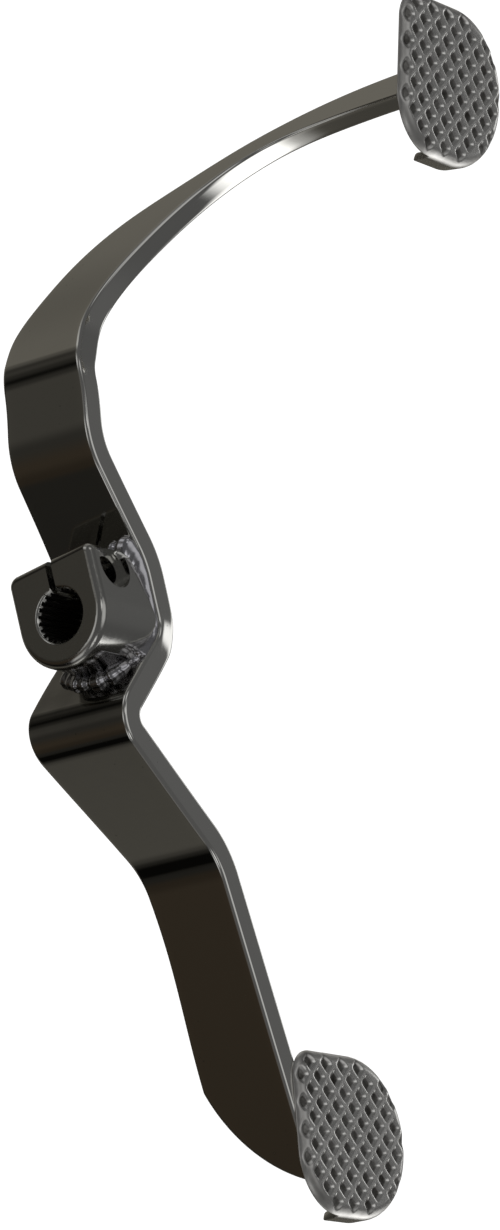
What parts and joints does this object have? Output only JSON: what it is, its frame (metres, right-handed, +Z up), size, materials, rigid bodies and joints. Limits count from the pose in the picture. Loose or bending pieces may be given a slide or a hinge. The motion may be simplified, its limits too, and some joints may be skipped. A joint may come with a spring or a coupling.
{
  "type": "motorcycle gear shift lever",
  "caption": "Heel-and-toe gear shift lever: bent flat chromed bar with a split serrated clamp boss and a treaded foot pad welded at each end.",
  "frame": {"origin": "centre of the serrated bore, half way along it", "axes": "+X forward to the toe pad, +Y outward from the engine along the bore axis, +Z up when the toe arm is level"},
  "size_m": [0.2728, 0.0984, 0.0863],
  "materials": {
    "chrome_bar": "polished and plated, lightly worn",
    "chrome_boss": "plated over a machined surface",
    "chrome_pad": "plated over a pressed tread, slightly dull",
    "plated_weld": "plated weld bead"
  },
  "bodies": {
    "root": {"lever_arm": "chrome_bar", "splined_boss": "chrome_boss", "boss_weld": "plated_weld", "toe_pad": "chrome_pad", "toe_pad_weld": "plated_weld", "heel_pad": "chrome_pad", "heel_pad_weld": "plated_weld"}
  },
  "joints": []
}
